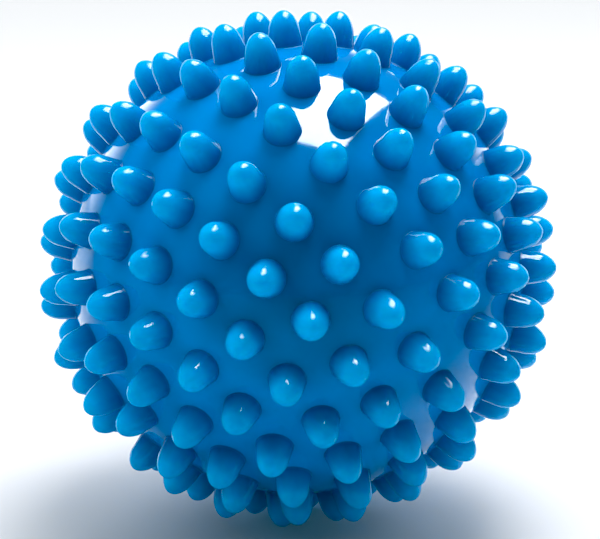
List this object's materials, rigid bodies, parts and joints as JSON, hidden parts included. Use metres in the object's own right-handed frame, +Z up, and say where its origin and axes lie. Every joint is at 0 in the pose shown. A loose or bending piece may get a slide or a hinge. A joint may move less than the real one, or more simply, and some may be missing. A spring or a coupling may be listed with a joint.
{
  "type": "massage ball",
  "caption": "Soft hollow massage ball covered in rings of blunt bullet-shaped spikes, with an air valve at one pole that has a removable core for an inflating needle.",
  "frame": {"origin": "centre of the ball", "axes": "+Z up as the ball lies on a table, -Y towards the viewer; the valve's axis leans 51.3 degrees from +Z, heading 32.9 degrees from +X towards +Y"},
  "size_m": [0.0746, 0.0748, 0.0748],
  "materials": {
    "pvc_skin": "glossy, slightly translucent moulded soft PVC",
    "pvc_seat": "satin soft PVC, bonded to the skin",
    "valve_rubber": "matt off-white valve rubber"
  },
  "bodies": {
    "ball": {"skin": "pvc_skin", "valve_seat": "pvc_seat"},
    "stopper": {"valve_core": "valve_rubber"}
  },
  "joints": [
    {"name": "valve_pull", "type": "slide", "parent": "ball", "child": "stopper", "axis": [0.6553, 0.4239, 0.6252], "range_m": [0, 0.02]}
  ]
}
